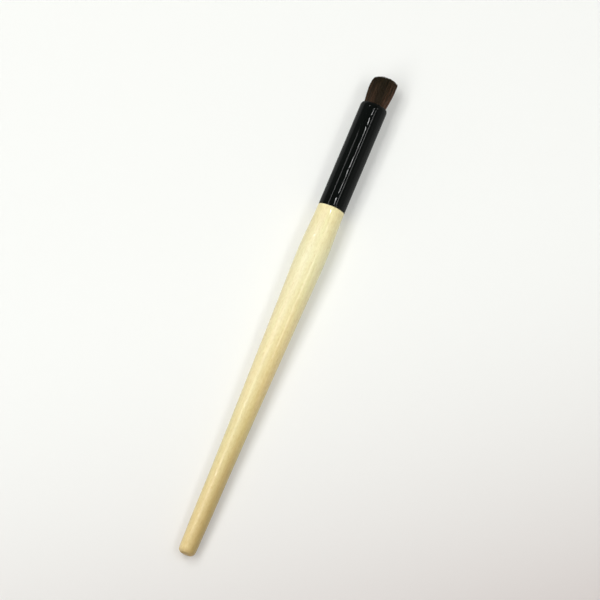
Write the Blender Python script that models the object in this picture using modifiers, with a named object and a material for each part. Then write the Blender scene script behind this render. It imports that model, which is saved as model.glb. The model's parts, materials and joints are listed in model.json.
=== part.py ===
"""An eye contour brush lying on its side, as it rests on a table.

A turned wooden handle ends in a tenon. A black metal ferrule is glued over the tenon, and holds a
short domed tuft of hair whose root is bound with thread and set in epoxy. Lengths are in metres.
Each piece is modelled upright round its own Z axis, with the end of the butt at zero, and an empty
on the brush's axis then lays all of them down so that the belly and the butt touch the floor.
"""

import math
import random

import bmesh
import bpy

# Handle, measured from the end of the butt to the shoulder that the ferrule meets.
HANDLE_LENGTH = 0.1198
BELLY_TO_SHOULDER = 0.0163
BELLY_RADIUS = 0.0048
BUTT_RADIUS = 0.0027
BUTT_ROUNDING = 0.0013
BUTT_FLAT_RADIUS = 0.0011
TENON_CHAMFER = 0.0005

# How the handle swells: shares of the way from the butt to the belly, and of the gain in radius.
SWELL_SHARES = (
    (0.0, 0.0),
    (0.06, 0.095),
    (0.13, 0.162),
    (0.25, 0.222),
    (0.4, 0.343),
    (0.55, 0.495),
    (0.7, 0.657),
    (0.85, 0.83),
    (1.0, 1.0),
)
SWELL_STEPS = 18
BELLY_STEPS = 7
ROUNDING_STEPS = 5

# Ferrule, from the shoulder to its rolled mouth.
FERRULE_LENGTH = 0.03545
FERRULE_RADIUS = 0.00435
FERRULE_WALL = 0.00035
LIP_DEPTH = 0.0013
LIP_STEPS = 6

# What is inside the ferrule, from the hair outwards and from the mouth down.
THREAD_BUILD = 0.00036
THREAD_BAND = 0.0024
THREAD_TURNS = 6
THREAD_ABOVE_ROOT = 0.0012
EPOXY_WALL = 0.00019
EPOXY_FLOOR = 0.002
EPOXY_ABOVE_THREAD = 0.0015
GLUE_FILM = 0.0003
AIR_SPACE = 0.0034

# Clearances: between pieces that touch, and between the rolled mouth and the hair.
SEAT_GAP = 0.00005
HAIR_CLEARANCE = 0.00005

# Tuft. Heights are above the mouth, depths below it.
TUFT_LENGTH = 0.00995
TUFT_SPREAD = 0.001
TUFT_WIDEST_HEIGHT = 0.0064
CROWN_RISE = 0.0012
EDGE_DROP = 0.0016
CROWN_LEAN = 0.00035
UNEVENNESS = 0.00025
STRANDS_START_DEPTH = 0.002
ROOT_DEPTH = 0.0165
EDGE_POWER = 14
STRANDS_ACROSS = 18
STRAND_SHARE = 0.8
STRAND_TIP_SHARE = 0.6
BEND_SHARE = 0.5
STRAND_SEED = 7

# Facets of every turned piece. All are turned alike, so that they nest, with one corner down.
SIDES = 20
FACET_COS = math.cos(math.pi / SIDES)
SHARP_ANGLE = math.radians(30)
MERGE_DISTANCE = 0.00001

# Radii, from the ferrule inwards.
BORE_RADIUS = FERRULE_RADIUS - FERRULE_WALL
TENON_RADIUS = BORE_RADIUS - GLUE_FILM - 2 * SEAT_GAP
PLUG_RADIUS = BORE_RADIUS - SEAT_GAP
THREAD_RADIUS = PLUG_RADIUS - EPOXY_WALL - SEAT_GAP
THREAD_INNER_RADIUS = THREAD_RADIUS - THREAD_BUILD
ROOT_RADIUS = THREAD_INNER_RADIUS * FACET_COS - SEAT_GAP

# Places along the brush, from the end of the butt.
BELLY = HANDLE_LENGTH - BELLY_TO_SHOULDER
FERRULE_START = HANDLE_LENGTH + SEAT_GAP
MOUTH = FERRULE_START + FERRULE_LENGTH
ROOT_START = MOUTH - ROOT_DEPTH
THREAD_START = ROOT_START + THREAD_ABOVE_ROOT
THREAD_END = THREAD_START + THREAD_BAND
PLUG_START = ROOT_START - SEAT_GAP - EPOXY_FLOOR
PLUG_END = THREAD_END + EPOXY_ABOVE_THREAD
TENON_END = PLUG_START - AIR_SPACE


def linear(red, green, blue):
    """A colour given as 0 to 255 display values, as the linear values that a material takes."""
    channels = [value / 255 for value in (red, green, blue)]
    return [c / 12.92 if c <= 0.04045 else ((c + 0.055) / 1.055) ** 2.4 for c in channels] + [1.0]


def principled(name, colour, roughness, metallic=0.0, coat=0.0):
    material = bpy.data.materials.new(name)
    material.use_nodes = True
    shader = material.node_tree.nodes["Principled BSDF"]
    shader.inputs["Base Color"].default_value = colour
    shader.inputs["Roughness"].default_value = roughness
    shader.inputs["Metallic"].default_value = metallic
    shader.inputs["Coat Weight"].default_value = coat
    material.diffuse_color = colour
    return material


def smooth_through(points, x):
    """The height at x of a smooth curve through the points, which is level at the last one."""
    slopes = [
        (after[1] - before[1]) / (after[0] - before[0])
        for before, after in zip([points[0]] + list(points), list(points[1:]) + [points[-1]])
    ]
    slopes[-1] = 0.0
    index = max(i for i in range(len(points) - 1) if points[i][0] <= x)
    (x0, y0), (x1, y1) = points[index], points[index + 1]
    width = x1 - x0
    t = (x - x0) / width
    start = (1 + 2 * t) * (1 - t) ** 2 * y0 + t * (1 - t) ** 2 * width * slopes[index]
    end = (3 - 2 * t) * t**2 * y1 + (t - 1) * t**2 * width * slopes[index + 1]
    return start + end


def quarter_round(centre, reach, steps):
    """(radius, distance) points of a quarter ellipse, from its top down to its widest point."""
    angles = [math.pi / 2 * i / steps for i in range(steps + 1)]
    return [
        (centre[0] + reach[0] * math.sin(angle), centre[1] + reach[1] * math.cos(angle))
        for angle in angles
    ]


def handle_outline():
    """The outside of the handle from the shoulder down to the flat of the butt."""
    belly = []
    for i in range(BELLY_STEPS):
        swell = (1 - math.cos(math.pi * i / BELLY_STEPS)) / 2
        radius = FERRULE_RADIUS + (BELLY_RADIUS - FERRULE_RADIUS) * swell
        belly.append((radius, HANDLE_LENGTH - BELLY_TO_SHOULDER * i / BELLY_STEPS))
    taper = []
    for i in range(SWELL_STEPS, 0, -1):
        share = i / SWELL_STEPS
        gain = smooth_through(SWELL_SHARES, share)
        distance = BUTT_ROUNDING + (BELLY - BUTT_ROUNDING) * share
        taper.append((BUTT_RADIUS + (BELLY_RADIUS - BUTT_RADIUS) * gain, distance))
    reach = (BUTT_RADIUS - BUTT_FLAT_RADIUS, -BUTT_ROUNDING)
    end = quarter_round((BUTT_FLAT_RADIUS, BUTT_ROUNDING), reach, ROUNDING_STEPS)
    return belly + taper + end[::-1]


def ferrule_outline():
    """The outside of the ferrule from its mouth down to the shoulder."""
    reach = (FERRULE_RADIUS - mouth_radius(), LIP_DEPTH)
    lip = quarter_round((mouth_radius(), MOUTH - LIP_DEPTH), reach, LIP_STEPS)
    return lip + [(FERRULE_RADIUS, FERRULE_START)]


def bundle_radius(height):
    """The radius of the hair at a height above the mouth, or at a depth where it is negative."""
    rise = height + STRANDS_START_DEPTH
    share = min(max(rise / (TUFT_WIDEST_HEIGHT + STRANDS_START_DEPTH), 0.0), 1.0)
    return ROOT_RADIUS + TUFT_SPREAD * math.sin(math.pi / 2 * share)


def mouth_radius():
    return (bundle_radius(0) + HAIR_CLEARANCE) / FACET_COS


def crown_height(x, y):
    """The height of the tuft's top above the mouth, at a place in the unit disc."""
    distance = math.hypot(x, y)
    drop = CROWN_RISE * distance**2 + EDGE_DROP * distance**EDGE_POWER
    return TUFT_LENGTH - drop - CROWN_LEAN * y


def square_to_disc(x, y):
    """Moves a point of the unit square to the unit disc, keeping cells about equal."""
    if x == 0 and y == 0:
        return 0.0, 0.0
    if abs(x) > abs(y):
        radius, angle = x, math.pi / 4 * y / x
    else:
        radius, angle = y, math.pi / 2 - math.pi / 4 * x / y
    return radius * math.cos(angle), radius * math.sin(angle)


def place(name, mesh, material):
    """An object for the mesh, in the brush's collection and on its axis."""
    mesh.materials.clear()
    mesh.materials.append(material)
    piece = bpy.data.objects.new(name, mesh)
    piece.parent = bpy.data.objects["brush_axis"]
    bpy.data.collections["eye_contour_brush"].objects.link(piece)


def turned(name, profile, material, ring=False):
    """A turned piece from (radius, distance) points that run down its outer side."""
    count = len(profile)
    edges = [(i, (i + 1) % count) for i in range(count if ring else count - 1)]
    outline = bpy.data.meshes.new(name + "_profile")
    outline.from_pydata([(radius, 0, distance) for radius, distance in profile], edges, [])
    guide = bpy.data.objects.new(name + "_profile", outline)
    bpy.context.scene.collection.objects.link(guide)
    screw = guide.modifiers.new("Turn", "SCREW")
    screw.axis = "Z"
    screw.steps = SIDES
    screw.render_steps = SIDES
    screw.use_merge_vertices = True
    screw.merge_threshold = MERGE_DISTANCE
    evaluated = guide.evaluated_get(bpy.context.evaluated_depsgraph_get())
    mesh = bpy.data.meshes.new_from_object(evaluated)
    mesh.name = name
    bpy.data.objects.remove(guide)
    mesh.shade_smooth()
    mesh.set_sharp_from_angle(angle=SHARP_ANGLE)
    place(name, mesh, material)


def make_handle():
    tenon = [
        (0, TENON_END),
        (TENON_RADIUS - TENON_CHAMFER, TENON_END),
        (TENON_RADIUS, TENON_END - TENON_CHAMFER),
        (TENON_RADIUS, HANDLE_LENGTH),
    ]
    wood = principled("pale_wood", linear(238, 224, 170), 0.3, coat=0.8)
    turned("handle", tenon + handle_outline() + [(0, 0)], wood)


def make_ferrule():
    inner_reach = (BORE_RADIUS - mouth_radius(), LIP_DEPTH - FERRULE_WALL)
    lip = quarter_round((mouth_radius(), MOUTH - LIP_DEPTH), inner_reach, LIP_STEPS)
    bore = [(BORE_RADIUS, FERRULE_START)] + lip[::-1]
    black = principled("black_lacquer", linear(20, 20, 20), 0.12, metallic=0.2, coat=1.0)
    turned("ferrule", ferrule_outline() + bore, black, ring=True)


def make_tenon_glue():
    outer, inner = BORE_RADIUS - SEAT_GAP, TENON_RADIUS + SEAT_GAP
    start = HANDLE_LENGTH + SEAT_GAP
    profile = [(outer, TENON_END), (outer, start), (inner, start), (inner, TENON_END)]
    glue = principled("clear_glue", linear(214, 196, 150), 0.35)
    turned("tenon_glue", profile, glue, ring=True)


def make_epoxy_plug():
    root_bore = (ROOT_RADIUS + SEAT_GAP) / FACET_COS
    thread_bore = THREAD_RADIUS + SEAT_GAP
    profile = [
        (0, PLUG_START + EPOXY_FLOOR),
        (root_bore, PLUG_START + EPOXY_FLOOR),
        (root_bore, THREAD_START - SEAT_GAP),
        (thread_bore, THREAD_START - SEAT_GAP),
        (thread_bore, PLUG_END),
        (PLUG_RADIUS, PLUG_END),
        (PLUG_RADIUS, PLUG_START),
        (0, PLUG_START),
    ]
    epoxy = principled("amber_epoxy", linear(190, 150, 84), 0.2)
    turned("epoxy_plug", profile, epoxy)


def make_knot_thread():
    """The binding, with one rounded rib for each turn of thread."""
    pitch = THREAD_BAND / THREAD_TURNS
    valley = THREAD_RADIUS - THREAD_BUILD / 3
    profile = [(valley, THREAD_END)]
    for turn in range(THREAD_TURNS):
        top = THREAD_END - pitch * turn
        profile += [
            (THREAD_RADIUS, top - pitch / 3),
            (THREAD_RADIUS, top - pitch * 2 / 3),
            (valley, top - pitch),
        ]
    profile += [(THREAD_INNER_RADIUS, THREAD_START), (THREAD_INNER_RADIUS, THREAD_END)]
    thread = principled("pale_thread", linear(222, 214, 196), 0.8)
    turned("knot_thread", profile, thread, ring=True)


def shrink(face, share):
    centre = face.calc_center_median()
    for vertex in face.verts:
        flat = centre.xy + (vertex.co.xy - centre.xy) * share
        vertex.co.xy = flat


def raise_strand(mesh, face, height):
    """Extrudes a strand to a height, and returns its new end."""
    end = bmesh.ops.extrude_discrete_faces(mesh, faces=[face])["faces"][0]
    for vertex in end.verts:
        vertex.co.z = height
    return end


def make_hair_tuft():
    """Strands on a slice of the bound root, raised in a unit disc that then takes the flare."""
    mesh = bmesh.new()
    bmesh.ops.create_grid(mesh, x_segments=STRANDS_ACROSS, y_segments=STRANDS_ACROSS, size=1)
    for vertex in mesh.verts:
        vertex.co.xy = square_to_disc(vertex.co.x, vertex.co.y)
        vertex.co.z = -STRANDS_START_DEPTH
    cells = list(mesh.faces)
    bmesh.ops.inset_individual(mesh, faces=cells, thickness=0)
    rim = [edge for edge in mesh.edges if edge.is_boundary]
    lengths = random.Random(STRAND_SEED)
    for cell in cells:
        shrink(cell, STRAND_SHARE)
        centre = cell.calc_center_median()
        bend = raise_strand(mesh, cell, TUFT_WIDEST_HEIGHT * BEND_SHARE)
        tip_height = crown_height(centre.x, centre.y) - UNEVENNESS * lengths.random()
        shrink(raise_strand(mesh, bend, tip_height), STRAND_TIP_SHARE)
    skirt = bmesh.ops.extrude_edge_only(mesh, edges=rim)["geom"]
    for vertex in skirt:
        if isinstance(vertex, bmesh.types.BMVert):
            vertex.co.z = -ROOT_DEPTH
    bottom = [edge for edge in mesh.edges if edge.is_boundary]
    bmesh.ops.contextual_create(mesh, geom=bottom)
    for vertex in mesh.verts:
        vertex.co.xy = vertex.co.xy * bundle_radius(vertex.co.z)
        vertex.co.z += MOUTH
    bmesh.ops.recalc_face_normals(mesh, faces=mesh.faces)
    tuft = bpy.data.meshes.new("hair_tuft")
    mesh.to_mesh(tuft)
    mesh.free()
    hair = principled("brown_hair", linear(48, 38, 30), 0.55)
    place("hair_tuft", tuft, hair)


def floor_line(outline):
    """The two (distance, depth) points of the lower outline, far apart, that a flat floor touches."""
    hull = []
    for point in sorted(outline):
        while len(hull) > 1:
            first, last = hull[-2:]
            turn = (last[0] - first[0]) * (point[1] - first[1])
            turn -= (last[1] - first[1]) * (point[0] - first[0])
            if turn < 0:
                break
            hull.pop()
        hull.append(point)
    return max(zip(hull, hull[1:]), key=lambda pair: pair[1][0] - pair[0][0])


def lay_down(axis):
    """Turns and places the axis so that the brush rests on the floor, centred over the origin."""
    outline = [(distance, radius) for radius, distance in handle_outline() + ferrule_outline()]
    outline.append((MOUTH + TUFT_WIDEST_HEIGHT, bundle_radius(TUFT_WIDEST_HEIGHT)))
    outline.append((MOUTH + TUFT_LENGTH, 0.0))
    near, far = floor_line(outline)
    tilt = math.atan2(far[1] - near[1], far[0] - near[0])
    ends = [
        distance * math.cos(tilt) + side * depth * math.sin(tilt)
        for distance, depth in outline
        for side in (-1, 1)
    ]
    axis.rotation_euler.y = math.pi / 2 - tilt
    axis.location.x = -(min(ends) + max(ends)) / 2
    axis.location.z = near[1] * math.cos(tilt) - near[0] * math.sin(tilt)


def main():
    for leftover in list(bpy.data.objects):
        bpy.data.objects.remove(leftover)
    brush = bpy.data.collections.new("eye_contour_brush")
    bpy.context.scene.collection.children.link(brush)
    axis = bpy.data.objects.new("brush_axis", None)
    brush.objects.link(axis)
    lay_down(axis)
    make_handle()
    make_ferrule()
    make_tenon_glue()
    make_epoxy_plug()
    make_knot_thread()
    make_hair_tuft()


main()
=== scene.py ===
"""Looks of an eye contour brush: lacquered pale wood, a glossy black ferrule and dark brown hair.

The brush lies on a pale table under soft studio light. Lengths are in metres. Every piece is
modelled in the brush's own place: Z runs along the brush from the end of the butt, Y across it and
X down to the table. Its right side in the photograph is the one where Y is negative.
"""

import json
import math

import bmesh
import bpy
import numpy as np
from mathutils import Matrix, Vector


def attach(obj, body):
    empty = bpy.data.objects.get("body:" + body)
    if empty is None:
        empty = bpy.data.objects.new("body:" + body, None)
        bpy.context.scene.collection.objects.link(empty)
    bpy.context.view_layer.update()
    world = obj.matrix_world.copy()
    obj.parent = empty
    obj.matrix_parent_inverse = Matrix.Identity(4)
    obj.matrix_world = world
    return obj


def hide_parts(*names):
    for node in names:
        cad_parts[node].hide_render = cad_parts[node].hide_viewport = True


# Turned surfaces: their sides, the spacing of their rings and the rounding of their edges.
TURNED_SIDES = 128
RING_SPACING = 0.0006
EDGE_ROUNDING = 0.00007
EDGE_STEPS = 4
LIP_STEPS = 16
SHARP_ANGLE = math.radians(40)
MERGE_DISTANCE = 0.000001

# Rings of corners in the frame's solids: corners closer to each other than this are on one ring,
# and each corner is compared with the last few rings found.
RING_TOLERANCE = 0.000002
RINGS_COMPARED = 3

# How much nearer the butt than in the solids the photograph shows the joint of wood and metal.
JOINT_SHIFT = 0.00025

# Hair: how many, how thick, and where it begins below the mouth. Each hair has a ring of corners at
# each of these shares of its length, with this share of its thickness.
HAIR_COUNT = 6400
HAIR_RADIUS = 0.000044
HAIR_START_DEPTH = 0.002
HAIR_LEVEL_SHARES = (0.0, 0.3, 0.55, 0.78, 0.95)
HAIR_TAPER_SHARES = (1.0, 1.0, 0.92, 0.74, 0.5)
HAIR_CORNERS = 3
HAIR_SEED = 11
GOLDEN_ANGLE = math.pi * (3 - math.sqrt(5))

# Shape of the tuft: how high it is widest and how it flares to there, and how its top is domed,
# falls away at its edge and leans across.
TUFT_WIDEST_HEIGHT = 0.0064
FLARE_POWER = 1.15
CROWN_RISE = 0.0012
CROWN_LEAN = 0.00035
EDGE_DROP = 0.0011
EDGE_DROP_LEAN = 0.65
EDGE_POWER = 22

# How the hair departs from that shape: locks, lengths, bends and tones.
LOCK_COUNT = 62
LOCK_PULL_SHARE = 0.25
LOCK_UNEVENNESS = 0.00011
HAIR_UNEVENNESS = 0.00011
BEND_REACH = 0.00008
BEND_POWER = 3
HAIR_LEAN = 0.0001
PLACE_JITTER_SHARE = 0.35
OWN_TONE_SHARE = 0.65
TONE_ATTRIBUTE = "strand_tone"

# The core of closely packed hair within the tuft: its share of the tuft's width, and how far below
# the crown it ends.
CORE_WIDTH_SHARE = 0.9
CORE_DEPTH = 0.001
CORE_STEPS = 24

# The photograph's frame, and where the two ends of the brush lie in it, in its pixels.
FRAME_PIXELS = 600
BUTT_PIXEL = Vector((185.57, 554.25))
TIP_PIXEL = Vector((386.75, 77.75))

# Camera: how far it leans from the vertical, which way, its lens and sensor in millimetres, and the
# rounds in which its distance and aim are found.
CAMERA_LEAN = math.radians(15.2)
PICTURE_UP_ANGLE = math.radians(22.9)
CAMERA_LENS = 1600
SENSOR_WIDTH = 36
CAMERA_START_DISTANCE = 8.3
CAMERA_ROUNDS = 25

# Lamps: name, angle across the brush in degrees, middle along X, length along X, width, power in
# watts, and whether gloss shows it. The two boxes light the brush, and the tubes make the lines of
# light on its gloss.
LAMP_DISTANCE = 1.0
LAMPS = (
    ("key_box", -24, -0.36, 2.0, 0.5, 10.05, False),
    ("fill_box", 29, 0.06, 0.9, 0.25, 2.45, False),
    ("left_tube", -36.2, 0.238, 0.08, 0.04, 0.155, True),
    ("left_tube_middle", -36, 0.176, 0.048, 0.04, 0.06, True),
    ("left_tube_behind", -32, 0.101, 0.102, 0.04, 0.42, True),
    ("left_tube_ahead", -34, 0.325, 0.04, 0.04, 0.3, True),
    ("middle_tube", 10.5, 0.268, 0.056, 0.044, 0.34, True),
    ("right_tube", 29.5, 0.252, 0.07, 0.04, 0.155, True),
    ("wood_tube", 37, 0.175, 0.05, 0.14, 0.22, True),
    ("wood_tube_ahead", 36, 0.325, 0.042, 0.12, 0.16, True),
)

# The world: even light for the surfaces, and the room that gloss shows. That has a dim ceiling,
# paler walls and a pale band at the horizon. Heights and sides are parts of a direction of length 1.
AMBIENT_STRENGTH = 0.18
AMBIENT_COLOUR = (1.0, 1.0, 1.0, 1.0)
ROOM_COLOUR = (1.0, 1.0, 0.98, 1.0)
CEILING_LEVEL = 0.06
LEFT_WALL_LEVEL = 0.1
RIGHT_WALL_LEVEL = 0.4
WALL_SIDES = (-0.5, 0.5)
WALL_HEIGHTS = (0.5, 0.78)
HORIZON_LEVEL = 0.35
HORIZON_HEIGHTS = (0.03, 0.16)

# The table: its size, its colours, the way in which it grows paler, and between which places along
# that way painted shade turns it grey, where the light falls off towards one corner.
FLOOR_SIZE = 6.0
TABLE_COLOUR = (0.9, 0.9, 0.88, 1.0)
TABLE_FINISH = {"Roughness": 0.7, "Specular IOR Level": 0.1}
TABLE_PALE = (0.897, 0.905, 0.873, 1.0)
TABLE_SHADE_GREY = (0.65, 0.607, 0.582, 1.0)
PALE_WAY = (0.814, 0.581, 0.0)
PAINTED_SHADE_REACH = (0.022, -0.111)

# How much of the table the camera sees as a light of the table's colour, which keeps the shadow on
# it pale, and how strong that light is.
TABLE_GLOW = 0.24
GLOW_LEVEL = 1.1

# Materials. Colours of whole numbers are display values from 0 to 255, and tints are factors that
# multiply a colour. A grain is noise: the size of its features across the brush and along it, and
# its detail. A reach gives two places across the brush, where something begins and is full. What
# is called a material's colour shows in a plain view only, because its tones replace it.

# Wood: its gloss, and its tones at shares of the way from the butt to the shoulder. The tones are
# partly the wood's own colour and partly painted shade, darker towards the butt where the light
# falls off.
WOOD_COLOUR = (238, 224, 170)
WOOD_FINISH = {
    "Roughness": 0.5,
    "Coat Weight": 0.6,
    "Coat Roughness": 0.1,
    "Specular IOR Level": 0.1,
}
WOOD_AND_SHADE_TONES = (
    (0.0, (231, 210, 160)),
    (0.16, (234, 218, 168)),
    (0.35, (238, 228, 181)),
    (0.6, (247, 238, 196)),
    (0.85, (250, 247, 213)),
    (1.0, (248, 240, 198)),
)

# Painted shade: the wood's right side is browner and darker, by these tints at shares of the same
# way, with a little painted light near the shoulder. Its left edge is darker by painted shade too.
RIGHT_SHADE_REACH = (0.0006, -0.0016)
RIGHT_SHADE_TINTS = (
    (0.0, (0.645, 0.605, 0.46)),
    (0.2, (0.715, 0.64, 0.51)),
    (0.36, (0.84, 0.77, 0.61)),
    (0.5, (0.94, 0.84, 0.7)),
    (0.65, (0.99, 0.93, 0.8)),
    (0.85, (1.03, 1.03, 0.95)),
)
LEFT_SHADE_REACH = (0.0018, 0.0038)
LEFT_SHADE_TINT = (0.92, 0.89, 0.82)

# Wide zones of two hues in the wood: their grain, the noise at which one turns into the other,
# their colours and how much these multiply the wood's.
ZONE_GRAIN = (0.0022, 0.024, 2.0)
ZONE_RANGE = (0.35, 0.65)
ZONE_HUES = ((255, 240, 214), (248, 248, 214))
ZONE_SHARE = 0.3

# Streaks, mottling and flecks in the wood: grain, the noise at which each begins and is full, its
# strength and its tint.
WOOD_PATTERNS = (
    ((0.00035, 0.012, 3.0), (0.7, 0.3), 1.0, (0.95, 0.93, 0.88)),
    ((0.0007, 0.0013, 1.0), (0.42, 0.62), 0.6, (0.92, 0.895, 0.83)),
    ((0.00022, 0.0012, 1.0), (0.62, 0.72), 1.0, (0.93, 0.88, 0.78)),
)

# A tan tone, and a brown end that is partly end grain and partly painted shade on the end face,
# at the butt: how far each reaches up, its strength and its colour.
BUTT_TONES = (
    (0.0016, 0.3, (186, 148, 84)),
    (0.0003, 1.0, (166, 130, 22)),
)

# Unevenness of the wood's gloss, and of the wood below it: grain and height.
GLOSS_UNEVENNESS = ((0.0004, 0.001, 1.0), 0.000009)
WOOD_UNEVENNESS = ((0.00015, 0.003, 2.0), 0.000004)

# Black lacquer: its gloss, its two tones, and the grain that mixes them.
LACQUER_COLOUR = (0.0027, 0.003, 0.0027, 1.0)
LACQUER_FINISH = {
    "Roughness": 0.3,
    "Coat Weight": 0.3,
    "Coat Roughness": 0.03,
    "Specular IOR Level": 0.0,
}
LACQUER_GRAIN = (0.0015, 0.006, 2.0)
LACQUER_TONES = ((0.0029, 0.0039, 0.0034, 1.0), (0.0039, 0.005, 0.0044, 1.0))

# Its waves, which break the line of light along the top: grain, height, and how far from the middle
# line they begin to fade and end.
WAVE_GRAIN = (0.0016, 0.0026, 0.0)
WAVE_HEIGHT = 0.00014
WAVE_REACH = (0.0004, 0.0007)

# Hair: its tones at the mouth and at the crown, by each strand's own place from 0 to 1 in them, and
# the tint of painted light that makes its two sides lighter and redder.
HAIR_COLOUR = (46, 36, 28)
HAIR_FINISH = {"Roughness": 0.5, "Specular IOR Level": 0.2}
LOW_HAIR_TONES = (
    (0.0, (32, 24, 15)),
    (0.5, (49, 40, 26)),
    (0.85, (70, 51, 37)),
    (1.0, (124, 84, 64)),
)
HIGH_HAIR_TONES = (
    (0.0, (27, 23, 12)),
    (0.5, (42, 36, 20)),
    (0.85, (56, 46, 27)),
    (1.0, (88, 66, 44)),
)
HAIR_SIDE_LIGHT_REACH = (0.0016, 0.0038)
HAIR_SIDE_LIGHT_TINT = (1.4, 1.2, 1.2)

# Pale streaks on the right of the tuft. They fade towards the crown between two shares of its
# height, from one strength to another.
STREAK_COLOUR = (122, 92, 74)
STREAK_GRAIN = (0.00015, 0.014, 0.0)
STREAK_RANGE = (0.56, 0.61)
STREAK_SHARE = 0.9
STREAK_REACH = (-0.0014, -0.0026)
STREAK_FADE_HEIGHTS = (0.35, 1.0)
STREAK_FADE = (1.0, 0.3)

# The hair deep in the tuft, darker by painted shade: its two tones, and the grain that mixes them.
PACKED_HAIR_COLOUR = (26, 20, 15)
PACKED_HAIR_FINISH = {"Roughness": 0.8}
PACKED_HAIR_GRAIN = (0.00012, 0.006, 2.0)
PACKED_HAIR_TONES = ((18, 13, 9), (34, 26, 19))

# The pieces that the ferrule hides: node, slot, material, its light and its dark colour, its
# roughness, and its grain and the height of that.
INNER_FINISHES = (
    (
        "knot_thread", "binding_thread", "bound_thread",
        (226, 218, 200), (196, 186, 164), 0.85, (0.0002, 0.0001, 2.0), 0.00002,
    ),
    (
        "epoxy_plug", "epoxy", "amber_epoxy",
        (196, 156, 88), (168, 126, 62), 0.2, (0.001, 0.001, 2.0), 0.00001,
    ),
    (
        "tenon_glue", "wood_glue", "dried_glue",
        (216, 198, 152), (196, 174, 124), 0.4, (0.0008, 0.0012, 2.0), 0.00002,
    ),
)

# Where a Mix node has its factor and its two colours, and where their mixture.
MIX_INPUTS = (0, 6, 7)
MIX_OUTPUT = 2


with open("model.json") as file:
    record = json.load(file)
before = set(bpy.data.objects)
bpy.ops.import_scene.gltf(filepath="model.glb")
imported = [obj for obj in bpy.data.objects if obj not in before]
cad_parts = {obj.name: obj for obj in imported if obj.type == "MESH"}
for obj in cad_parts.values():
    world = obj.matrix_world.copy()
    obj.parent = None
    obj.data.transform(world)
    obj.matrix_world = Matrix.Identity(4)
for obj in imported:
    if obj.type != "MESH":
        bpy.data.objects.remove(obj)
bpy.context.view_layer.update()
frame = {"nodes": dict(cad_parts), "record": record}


def brush_place():
    """The brush's own place in the frame: Z along it to the hair, Y across it, X to the floor."""
    mount = frame["record"]["mounts"][0]
    along = -Vector(mount["axis"]).normalized()
    across = Vector((0, 1, 0))
    turn = Matrix((across.cross(along), across, along)).transposed().to_4x4()
    return Matrix.Translation(mount["pos_m"]) @ turn


def make_axis():
    """An empty at the brush's own place, from which its materials take their coordinates."""
    axis = bpy.data.objects.new("brush_axis", None)
    bpy.context.scene.collection.objects.link(axis)
    axis.matrix_world = BRUSH
    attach(axis, "root")
    return axis


def rings(node):
    """(distance, radius) of each ring of corners of a node, from the butt to the hair."""
    inward = BRUSH.inverted()
    places = [inward @ vertex.co for vertex in frame["nodes"][node].data.vertices]
    found = []
    for ring in sorted((place.z, math.hypot(place.x, place.y)) for place in places):
        if all(math.dist(ring, other) >= RING_TOLERANCE for other in found[-RINGS_COMPARED:]):
            found.append(ring)
    return found


BRUSH = brush_place()
AXIS = make_axis()
HANDLE_RINGS = rings("handle")
FERRULE_RINGS = rings("ferrule")
TUFT_RINGS = rings("hair_tuft")

# Sizes that the frame gives. The ferrule's first two rings are those of its end on the wood, and
# its last one is the mouth. The tuft's first rings are those of the root's blunt end.
FERRULE_START = FERRULE_RINGS[0][0]
FERRULE_RADIUS = max(radius for distance, radius in FERRULE_RINGS)
BORE_RADIUS = min(radius for distance, radius in FERRULE_RINGS[:2])
MOUTH, MOUTH_RADIUS = FERRULE_RINGS[-1]
LIP_START = min(distance for distance, radius in FERRULE_RINGS[2:])
LIP_FACE = min(d for d, radius in FERRULE_RINGS if radius < MOUTH_RADIUS + RING_TOLERANCE)
SHOULDER = max(distance for distance, radius in HANDLE_RINGS if radius > BORE_RADIUS)
ROOT_END = TUFT_RINGS[0][0] + RING_TOLERANCE
ROOT_START, ROOT_RADIUS = max(ring for ring in TUFT_RINGS if ring[0] < ROOT_END)
TUFT_RADIUS = max(radius for distance, radius in TUFT_RINGS)
TUFT_LENGTH = TUFT_RINGS[-1][0] - MOUTH


def dress(name, mesh, material, slot, *nodes):
    """A piece in the brush's own place that stands for the nodes, with the material; the slot is not
    used.
    """
    mesh.materials.append(material)
    mesh.shade_smooth()
    mesh.set_sharp_from_angle(angle=SHARP_ANGLE)
    mesh.transform(BRUSH)
    piece = bpy.data.objects.new(name, mesh)
    bpy.context.scene.collection.objects.link(piece)
    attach(piece, "root")
    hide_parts(*nodes)
    return piece


def turned(name, profile, ring=False):
    """A mesh turned round the brush's axis from (distance, radius) points, closed if a ring."""
    work = bmesh.new()
    points = [work.verts.new((radius, 0, distance)) for distance, radius in profile]
    pairs = list(zip(points, points[1:])) + ([(points[-1], points[0])] if ring else [])
    edges = [work.edges.new(pair) for pair in pairs]
    bmesh.ops.spin(
        work,
        geom=points + edges,
        cent=(0, 0, 0),
        axis=(0, 0, 1),
        angle=2 * math.pi,
        steps=TURNED_SIDES,
        use_merge=True,
    )
    bmesh.ops.remove_doubles(work, verts=work.verts, dist=MERGE_DISTANCE)
    bmesh.ops.recalc_face_normals(work, faces=work.faces)
    mesh = bpy.data.meshes.new(name)
    work.to_mesh(mesh)
    work.free()
    return mesh


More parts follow.
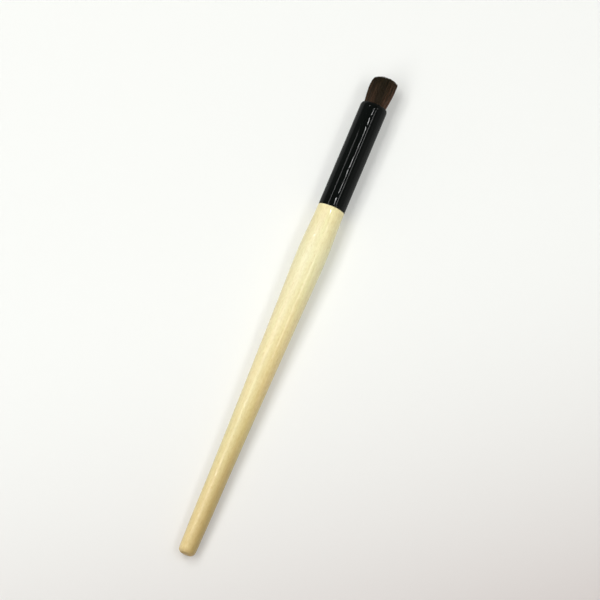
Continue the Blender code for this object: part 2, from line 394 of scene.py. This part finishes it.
def smooth_curve(points, spacing):
    """Points about a spacing apart on a smooth (Hermite) curve through the given ones."""
    points = np.array(points)
    lengths = np.linalg.norm(np.diff(points, axis=0), axis=1)
    ways = np.diff(points, axis=0) / lengths[:, None]
    slopes = np.concatenate((ways[:1], (ways[1:] + ways[:-1]) / 2, ways[-1:]))
    curve = []
    for i, length in enumerate(lengths):
        steps = max(EDGE_STEPS, math.ceil(length / spacing))
        for t in np.arange(steps) / steps:
            start = (1 + 2 * t) * (1 - t) ** 2 * points[i] + t * (1 - t) ** 2 * length * slopes[i]
            end = (3 - 2 * t) * t**2 * points[i + 1] + (t - 1) * t**2 * length * slopes[i + 1]
            curve.append(tuple(start + end))
    return curve + [tuple(points[-1])]


def corner(centre, reach, steps):
    """A quarter ellipse round a (distance, radius) centre, from its reach along the radius to its
    reach along the distance."""
    angles = [math.pi / 2 * i / steps for i in range(steps + 1)]
    return [(centre[0] + reach[0] * math.sin(a), centre[1] + reach[1] * math.cos(a)) for a in angles]


def make_handle(material):
    """The handle, smooth and with its shoulder's edge rounded, and its tenon as in the solid."""
    end = SHOULDER - JOINT_SHIFT
    body = [ring for ring in HANDLE_RINGS if ring[0] < end - RING_TOLERANCE]
    past = [ring for ring in HANDLE_RINGS if ring[0] > SHOULDER - RING_TOLERANCE]
    tenon = [ring for ring in past if ring[1] < BORE_RADIUS]
    edge = (end - EDGE_ROUNDING, FERRULE_RADIUS - EDGE_ROUNDING)
    surface = smooth_curve([(0.0, 0.0)] + body + [(edge[0], FERRULE_RADIUS)], RING_SPACING)
    shoulder = corner(edge, (EDGE_ROUNDING, EDGE_ROUNDING), EDGE_STEPS)
    profile = surface + shoulder[1:] + tenon + [(tenon[-1][0], 0.0)]
    mesh = turned("turned_handle", profile)
    return dress("turned_handle", mesh, material, "pale_wood", "handle")


def make_ferrule(material):
    """The tube, cut square at the wood, with its mouth rolled in round the hair."""
    rounding = EDGE_ROUNDING
    start = FERRULE_START - JOINT_SHIFT
    count = math.ceil((LIP_START - start) / RING_SPACING)
    tube = [(d, FERRULE_RADIUS) for d in np.linspace(start + rounding, LIP_START, count)]
    start_centre = (start + rounding, FERRULE_RADIUS - rounding)
    start_edge = corner(start_centre, (-rounding, rounding), EDGE_STEPS)
    outer_reach = (MOUTH - LIP_START, FERRULE_RADIUS - MOUTH_RADIUS - rounding)
    roll = corner((LIP_START, MOUTH_RADIUS + rounding), outer_reach, LIP_STEPS)
    lip_centre = (MOUTH - rounding, MOUTH_RADIUS + rounding)
    lip_edge = corner(lip_centre, (rounding, -rounding), EDGE_STEPS)
    inner_reach = (LIP_FACE - LIP_START, BORE_RADIUS - MOUTH_RADIUS)
    inside = corner((LIP_START, MOUTH_RADIUS), inner_reach, LIP_STEPS)
    outline = start_edge[::-1] + tube[1:-1] + roll + lip_edge[::-1]
    mesh = turned("rolled_ferrule", outline + inside[::-1] + [(start, BORE_RADIUS)], ring=True)
    return dress("rolled_ferrule", mesh, material, "black_lacquer", "ferrule")


def bundle_radius(height):
    """The radius of the hair at heights above the mouth, or at depths where they are negative."""
    share = np.clip((height + HAIR_START_DEPTH) / (TUFT_WIDEST_HEIGHT + HAIR_START_DEPTH), 0, 1)
    flare = np.sin(math.pi / 2 * share**FLARE_POWER)
    return ROOT_RADIUS + (TUFT_RADIUS - HAIR_RADIUS - ROOT_RADIUS) * flare


def crown_height(places):
    """The height of the tuft's top above the mouth, at places in the unit disc."""
    distance = np.hypot(places[:, 0], places[:, 1])
    edge = EDGE_DROP * (1 + EDGE_DROP_LEAN * places[:, 1]) * distance**EDGE_POWER
    drop = CROWN_RISE * distance**2 + edge
    return TUFT_LENGTH - drop - CROWN_LEAN * places[:, 1]


def disc_places(count, draw):
    """Places spread evenly over the unit disc, each moved a little at random."""
    index = np.arange(count) + 0.5
    distance = np.sqrt(index / count)
    angle = index * GOLDEN_ANGLE
    places = np.stack([distance * np.cos(angle), distance * np.sin(angle)], axis=1)
    places += draw.normal(0, PLACE_JITTER_SHARE / math.sqrt(count), places.shape)
    return places / np.maximum(np.linalg.norm(places, axis=1, keepdims=True), 1)


def make_hairs(material):
    """Tapered hairs from inside the mouth to the crown, drawn together in locks at their tips."""
    draw = np.random.default_rng(HAIR_SEED)
    roots = disc_places(HAIR_COUNT, draw)
    locks = disc_places(LOCK_COUNT, draw)
    nearest = np.argmin(np.linalg.norm(roots[:, None] - locks[None], axis=2), axis=1)
    lock_drop = draw.random(LOCK_COUNT)[nearest] * LOCK_UNEVENNESS
    tips = crown_height(roots) - lock_drop - draw.random(HAIR_COUNT) * HAIR_UNEVENNESS
    pulls = (locks[nearest] - roots) * LOCK_PULL_SHARE * TUFT_RADIUS
    bends = draw.normal((0, -HAIR_LEAN), BEND_REACH, (HAIR_COUNT, 2))
    turns = draw.random(HAIR_COUNT) * 2 * math.pi
    corners = turns[:, None] + np.arange(HAIR_CORNERS) * 2 * math.pi / HAIR_CORNERS
    rims = np.stack([np.cos(corners), np.sin(corners)], axis=2)
    widest = TUFT_RADIUS - HAIR_RADIUS
    levels = []
    for share, taper in zip(HAIR_LEVEL_SHARES, HAIR_TAPER_SHARES):
        heights = -HAIR_START_DEPTH + (tips + HAIR_START_DEPTH) * share
        middle = roots * bundle_radius(heights)[:, None] + (pulls + bends) * share**BEND_POWER
        middle *= np.minimum(1, widest / np.linalg.norm(middle, axis=1))[:, None]
        flat = middle[:, None] + rims * HAIR_RADIUS * taper
        rise = np.broadcast_to((heights + MOUTH)[:, None, None], flat.shape[:2] + (1,))
        levels.append(np.concatenate([flat, rise], axis=2))
    ends = np.concatenate([middle, (tips + MOUTH)[:, None]], axis=1)
    points = np.concatenate([np.concatenate(levels, axis=1), ends[:, None]], axis=1)
    mesh = bpy.data.meshes.new("hairs")
    mesh.from_pydata(points.reshape(-1, 3), [], hair_faces(points.shape[1]))
    own_tones = OWN_TONE_SHARE * draw.random(HAIR_COUNT)
    tones = own_tones + (1 - OWN_TONE_SHARE) * draw.random(LOCK_COUNT)[nearest]
    attribute = mesh.attributes.new(TONE_ATTRIBUTE, "FLOAT", "POINT")
    attribute.data.foreach_set("value", np.repeat(tones, points.shape[1]).astype(np.float32))
    return dress("hairs", mesh, material, "brown_hair", "hair_tuft")


def hair_faces(stride):
    """The faces of every hair: its blunt root, its sides and its tip. Each has a stride of points."""
    around = [(i, (i + 1) % HAIR_CORNERS) for i in range(HAIR_CORNERS)]
    last = stride - 1 - HAIR_CORNERS
    one = [tuple(reversed(range(HAIR_CORNERS)))]
    for low in range(0, last, HAIR_CORNERS):
        high = low + HAIR_CORNERS
        one += [(low + i, low + j, high + j, high + i) for i, j in around]
    one += [(last + i, last + j, stride - 1) for i, j in around]
    return [tuple(hair * stride + i for i in face) for hair in range(HAIR_COUNT) for face in one]


def make_core(material):
    """The bound root, and the closely packed hair within the tuft."""
    side = np.linspace(-HAIR_START_DEPTH, TUFT_LENGTH - CROWN_RISE - EDGE_DROP, CORE_STEPS)
    shares = np.linspace(1, 0, CORE_STEPS)
    dome = crown_height(np.stack([shares, np.zeros(CORE_STEPS)], axis=1)) - CORE_DEPTH
    levels = [(h, CORE_WIDTH_SHARE) for h in side if h < dome[0]]
    levels += [(h, CORE_WIDTH_SHARE * share) for h, share in zip(dome, shares)]
    root = [(ROOT_START, 0.0), (ROOT_START, ROOT_RADIUS), (MOUTH - HAIR_START_DEPTH, ROOT_RADIUS)]
    profile = root + [(MOUTH + h, width * bundle_radius(h)) for h, width in levels]
    return dress("tuft_core", turned("tuft_core", profile), material, "brown_hair", "hair_tuft")


def linear(colour):
    """A colour of display values from 0 to 255, by the sRGB curve in the linear values that a
    material takes."""
    channels = [value / 255 for value in colour]
    return [c / 12.92 if c <= 0.04045 else ((c + 0.055) / 1.055) ** 2.4 for c in channels] + [1.0]


def opaque(tint):
    """A tint with the alpha that a material takes."""
    return [*tint, 1.0]


def new_material(name, colour, finish):
    """A material, its tree and its shader, which takes the finish's values for its inputs."""
    material = bpy.data.materials.new(name)
    material.use_nodes = True
    material.diffuse_color = colour
    shader = material.node_tree.nodes["Principled BSDF"]
    for key, value in {"Base Color": colour, **finish}.items():
        shader.inputs[key].default_value = value
    return material, material.node_tree, shader


def add(tree, kind, inputs, **settings):
    """A new shader node. Each input is a value, or an output of another node to link it to."""
    made = tree.nodes.new("ShaderNode" + kind)
    for name, value in settings.items():
        setattr(made, name, value)
    for key, value in inputs.items():
        if isinstance(value, bpy.types.NodeSocket):
            tree.links.new(value, made.inputs[key])
        else:
            made.inputs[key].default_value = value
    return made


def mix(tree, factor, first, second, blend="MIX"):
    """The first colour turned into the second as far as the factor says, or multiplied by it."""
    inputs = dict(zip(MIX_INPUTS, (factor, first, second)))
    return add(tree, "Mix", inputs, data_type="RGBA", blend_type=blend).outputs[MIX_OUTPUT]


def math_node(tree, operation, first, second):
    """What the operation makes of two values."""
    return add(tree, "Math", {0: first, 1: second}, operation=operation).outputs[0]


def seen_rays(tree):
    """1 for the rays by which the camera sees a thing, in gloss or through glass too, or else 0."""
    rays = add(tree, "LightPath", {}).outputs
    seen = math_node(tree, "MAXIMUM", rays["Is Camera Ray"], rays["Is Glossy Ray"])
    return math_node(tree, "MAXIMUM", seen, rays["Is Transmission Ray"])


def scale_range(tree, value, old, new=(0.0, 1.0)):
    """A value brought from one range to another, and kept within it."""
    ends = {"From Min": old[0], "From Max": old[1], "To Min": new[0], "To Max": new[1]}
    return add(tree, "MapRange", {"Value": value, **ends}).outputs[0]


def ramp(tree, value, stops, convert):
    """A colour that depends on a value, from (value, colour) stops with colours to convert."""
    made = add(tree, "ValToRGB", {0: value})
    elements = made.color_ramp.elements
    elements[0].position, elements[1].position = stops[0][0], stops[-1][0]
    elements[0].color, elements[1].color = convert(stops[0][1]), convert(stops[-1][1])
    for position, colour in stops[1:-1]:
        elements.new(position).color = convert(colour)
    return made.outputs[0]


def brush_coordinates(tree):
    """Places as the brush's own place has them."""
    return add(tree, "TexCoord", {}, object=AXIS).outputs["Object"]


def place_in_brush(tree, axis):
    """How far along one of the axes of the brush's own place a thing lies."""
    return add(tree, "SeparateXYZ", {0: brush_coordinates(tree)}).outputs[axis]


def distance_across(tree):
    """How far from the brush's middle line a thing lies, to either side."""
    return add(tree, "Math", {0: place_in_brush(tree, "Y")}, operation="ABSOLUTE").outputs[0]


def grain(tree, across, along, detail):
    """Noise with features of a given size across the brush and along it."""
    scale = (1 / across, 1 / across, 1 / along)
    place = add(tree, "Mapping", {"Vector": brush_coordinates(tree), "Scale": scale}).outputs[0]
    return add(tree, "TexNoise", {"Vector": place, "Scale": 1.0, "Detail": detail}).outputs[0]


def bump(tree, pattern, height, strength=1.0):
    """A normal that shows the pattern as unevenness of a height."""
    inputs = {"Height": pattern, "Distance": height, "Strength": strength}
    return add(tree, "Bump", inputs).outputs[0]


def wood():
    """Pale straight-grained wood under clear gloss. It is tanner towards the butt, partly by painted
    shade, and painted shade darkens its right side and left edge.
    """
    material, tree, shader = new_material("lacquered_wood", linear(WOOD_COLOUR), WOOD_FINISH)
    along, across = place_in_brush(tree, "Z"), place_in_brush(tree, "Y")
    share = scale_range(tree, along, (0.0, SHOULDER))
    # Tones along the handle, with painted shade darkening them towards the butt.
    base = ramp(tree, share, WOOD_AND_SHADE_TONES, linear)
    # Painted shade on the right side, with a little painted light near the shoulder, and on the left
    # edge.
    right = scale_range(tree, across, RIGHT_SHADE_REACH)
    base = mix(tree, right, base, ramp(tree, share, RIGHT_SHADE_TINTS, opaque), "MULTIPLY")
    left = scale_range(tree, across, LEFT_SHADE_REACH)
    base = mix(tree, left, base, opaque(LEFT_SHADE_TINT), "MULTIPLY")
    zones = scale_range(tree, grain(tree, *ZONE_GRAIN), ZONE_RANGE)
    hues = mix(tree, zones, linear(ZONE_HUES[0]), linear(ZONE_HUES[1]))
    base = mix(tree, ZONE_SHARE, base, hues, "MULTIPLY")
    for size, noise_range, strength, tint in WOOD_PATTERNS:
        pattern = scale_range(tree, grain(tree, *size), noise_range, (0.0, strength))
        base = mix(tree, pattern, base, opaque(tint), "MULTIPLY")
    # The brown end is partly end grain and partly painted shade on the end face.
    for depth, strength, colour in BUTT_TONES:
        fading = scale_range(tree, along, (0.0, depth), (strength, 0.0))
        base = mix(tree, fading, base, linear(colour))
    tree.links.new(base, shader.inputs["Base Color"])
    for key, (size, height) in (("Coat Normal", GLOSS_UNEVENNESS), ("Normal", WOOD_UNEVENNESS)):
        tree.links.new(bump(tree, grain(tree, *size), height), shader.inputs[key])
    return material


def black_lacquer():
    """Black lacquer on metal, smooth but for faint waves along its top."""
    material, tree, shader = new_material("black_lacquer_gloss", LACQUER_COLOUR, LACQUER_FINISH)
    tone = mix(tree, grain(tree, *LACQUER_GRAIN), *LACQUER_TONES)
    tree.links.new(tone, shader.inputs["Base Color"])
    top = scale_range(tree, distance_across(tree), WAVE_REACH, (1.0, 0.0))
    waves = bump(tree, grain(tree, *WAVE_GRAIN), WAVE_HEIGHT, top)
    tree.links.new(waves, shader.inputs["Coat Normal"])
    return material


def hair():
    """Dark brown hair, redder and a little lighter towards the mouth, each strand with its tone.
    Painted light makes the tuft's two sides lighter and redder.
    """
    material, tree, shader = new_material("dark_hair", linear(HAIR_COLOUR), HAIR_FINISH)
    tone = add(tree, "Attribute", {}, attribute_name=TONE_ATTRIBUTE).outputs["Fac"]
    height = scale_range(tree, place_in_brush(tree, "Z"), (MOUTH, MOUTH + TUFT_LENGTH))
    low = ramp(tree, tone, LOW_HAIR_TONES, linear)
    high = ramp(tree, tone, HIGH_HAIR_TONES, linear)
    base = mix(tree, height, low, high)
    # Painted light: the tuft's two sides lighter and redder.
    sides = scale_range(tree, distance_across(tree), HAIR_SIDE_LIGHT_REACH)
    base = mix(tree, sides, base, opaque(HAIR_SIDE_LIGHT_TINT), "MULTIPLY")
    streaks = scale_range(tree, grain(tree, *STREAK_GRAIN), STREAK_RANGE, (0.0, STREAK_SHARE))
    right = scale_range(tree, place_in_brush(tree, "Y"), STREAK_REACH)
    fading = scale_range(tree, height, STREAK_FADE_HEIGHTS, STREAK_FADE)
    streaks = math_node(tree, "MULTIPLY", math_node(tree, "MULTIPLY", streaks, right), fading)
    base = mix(tree, streaks, base, linear(STREAK_COLOUR))
    tree.links.new(base, shader.inputs["Base Color"])
    return material


def packed_hair():
    """The hair deep in the tuft and in its bound root, darker by painted shade and streaked along."""
    colour, (dark, light) = linear(PACKED_HAIR_COLOUR), map(linear, PACKED_HAIR_TONES)
    material, tree, shader = new_material("packed_hair", colour, PACKED_HAIR_FINISH)
    # Darker than the strands, by painted shade deep in the tuft.
    base = mix(tree, grain(tree, *PACKED_HAIR_GRAIN), dark, light)
    tree.links.new(base, shader.inputs["Base Color"])
    return material


def finish_inner_nodes():
    """Mottled or streaked finishes for the hidden pieces of the frame, which stay as they are."""
    for node, slot, name, light, dark, roughness, size, height in INNER_FINISHES:
        material, tree, shader = new_material(name, linear(light), {"Roughness": roughness})
        pattern = grain(tree, *size)
        base = mix(tree, pattern, linear(dark), linear(light))
        tree.links.new(base, shader.inputs["Base Color"])
        tree.links.new(bump(tree, pattern, height), shader.inputs["Normal"])
        piece = frame["nodes"][node]
        piece.data.materials.clear()
        piece.data.materials.append(material)


def table_top():
    """A smooth pale table top, a little greyer and warmer towards one corner of the picture, by
    painted shade.
    """
    material, tree, shader = new_material("pale_table", TABLE_COLOUR, TABLE_FINISH)
    places = {0: add(tree, "TexCoord", {}).outputs["Object"], 1: PALE_WAY}
    away = add(tree, "VectorMath", places, operation="DOT_PRODUCT").outputs["Value"]
    # Painted shade: greyer and warmer towards one corner.
    shade = scale_range(tree, away, PAINTED_SHADE_REACH)
    base = mix(tree, math_node(tree, "MULTIPLY", shade, shade), TABLE_PALE, TABLE_SHADE_GREY)
    tree.links.new(base, shader.inputs["Base Color"])
    glow = add(tree, "Emission", {"Color": base, "Strength": GLOW_LEVEL}).outputs[0]
    share = math_node(tree, "MULTIPLY", seen_rays(tree), TABLE_GLOW)
    shown = add(tree, "MixShader", {0: share, 1: shader.outputs[0], 2: glow}).outputs[0]
    tree.links.new(shown, tree.nodes["Material Output"].inputs[0])
    return material


def make_floor():
    """The table, wide enough to fill the picture from any side."""
    half = FLOOR_SIZE / 2
    corners = [(-half, -half, 0), (half, -half, 0), (half, half, 0), (-half, half, 0)]
    mesh = bpy.data.meshes.new("table")
    mesh.from_pydata(corners, [], [(0, 1, 2, 3)])
    mesh.materials.append(table_top())
    floor = bpy.data.objects.new("table", mesh)
    bpy.context.scene.collection.objects.link(floor)


def make_lamps():
    """Lamps along the brush, each at its angle across it, turned to face it."""
    along = Vector((1, 0, 0))
    for name, degrees, ahead, length, width, power, in_gloss in LAMPS:
        angle = math.radians(degrees)
        away = Vector((0, -math.sin(angle), math.cos(angle)))
        data = bpy.data.lights.new(name, "AREA")
        data.shape = "RECTANGLE"
        data.size, data.size_y = length, width
        data.energy = power
        lamp = bpy.data.objects.new(name, data)
        bpy.context.scene.collection.objects.link(lamp)
        turn = Matrix((along, away.cross(along), away)).transposed().to_4x4()
        lamp.matrix_world = Matrix.Translation(away * LAMP_DISTANCE + along * ahead) @ turn
        lamp.visible_camera = False
        lamp.visible_glossy = in_gloss


def make_world():
    """Even light from all round. Gloss and the camera see a room with paler walls on the right."""
    world = bpy.data.worlds.new("studio")
    world.use_nodes = True
    bpy.context.scene.world = world
    tree = world.node_tree
    tree.nodes.clear()
    generated = add(tree, "TexCoord", {}).outputs["Generated"]
    direction = add(tree, "SeparateXYZ", {0: generated}).outputs
    side = scale_range(tree, direction["Y"], WALL_SIDES, (RIGHT_WALL_LEVEL, LEFT_WALL_LEVEL))
    low = scale_range(tree, direction["Z"], WALL_HEIGHTS, (1.0, 0.0))
    wall = math_node(tree, "MULTIPLY", side, low)
    horizon = scale_range(tree, direction["Z"], HORIZON_HEIGHTS, (HORIZON_LEVEL, 0.0))
    level = math_node(tree, "ADD", math_node(tree, "ADD", wall, horizon), CEILING_LEVEL)
    room = add(tree, "Background", {"Color": ROOM_COLOUR, "Strength": level}).outputs[0]
    ambient = {"Color": AMBIENT_COLOUR, "Strength": AMBIENT_STRENGTH}
    even = add(tree, "Background", ambient).outputs[0]
    chosen = add(tree, "MixShader", {0: seen_rays(tree), 1: even, 2: room}).outputs[0]
    add(tree, "OutputWorld", {"Surface": chosen})


def pixel(camera, point):
    """Where a point shows in the photograph's frame."""
    local = camera.matrix_world.inverted() @ point
    scale = CAMERA_LENS / SENSOR_WIDTH * FRAME_PIXELS / -local.z
    return Vector((FRAME_PIXELS / 2 + local.x * scale, FRAME_PIXELS / 2 - local.y * scale))


def make_camera():
    """The camera that sees the two ends of the brush where the photograph shows them."""
    data = bpy.data.cameras.new("camera")
    data.lens, data.sensor_width = CAMERA_LENS, SENSOR_WIDTH
    camera = bpy.data.objects.new("camera", data)
    bpy.context.scene.collection.objects.link(camera)
    bpy.context.scene.camera = camera
    forward = Vector((math.cos(PICTURE_UP_ANGLE), math.sin(PICTURE_UP_ANGLE), 0))
    back = Vector((0, 0, 1)) * math.cos(CAMERA_LEAN) - forward * math.sin(CAMERA_LEAN)
    butt, tip = BRUSH.to_translation(), BRUSH @ Vector((0, 0, MOUTH + TUFT_LENGTH))
    target, distance, turn = (butt + tip) / 2, CAMERA_START_DISTANCE, 0.0
    wanted = TIP_PIXEL - BUTT_PIXEL
    for _ in range(CAMERA_ROUNDS):
        up = Matrix.Rotation(turn, 3, back) @ (forward - back * forward.dot(back)).normalized()
        right = up.cross(back)
        pose = Matrix((right, up, back)).transposed().to_4x4()
        camera.matrix_world = Matrix.Translation(target + back * distance) @ pose
        bpy.context.view_layer.update()
        seen = pixel(camera, tip) - pixel(camera, butt)
        distance *= seen.length / wanted.length
        turn += math.atan2(-seen.y, seen.x) - math.atan2(-wanted.y, wanted.x)
        miss = (pixel(camera, butt) + pixel(camera, tip) - BUTT_PIXEL - TIP_PIXEL) / 2
        pixel_size = distance * SENSOR_WIDTH / CAMERA_LENS / FRAME_PIXELS
        target += (right * miss.x - up * miss.y) * pixel_size


bpy.context.scene.view_settings.view_transform = "Standard"
make_camera()
make_handle(wood())
make_ferrule(black_lacquer())
make_hairs(hair())
make_core(packed_hair())
finish_inner_nodes()
make_floor()
make_lamps()
make_world()
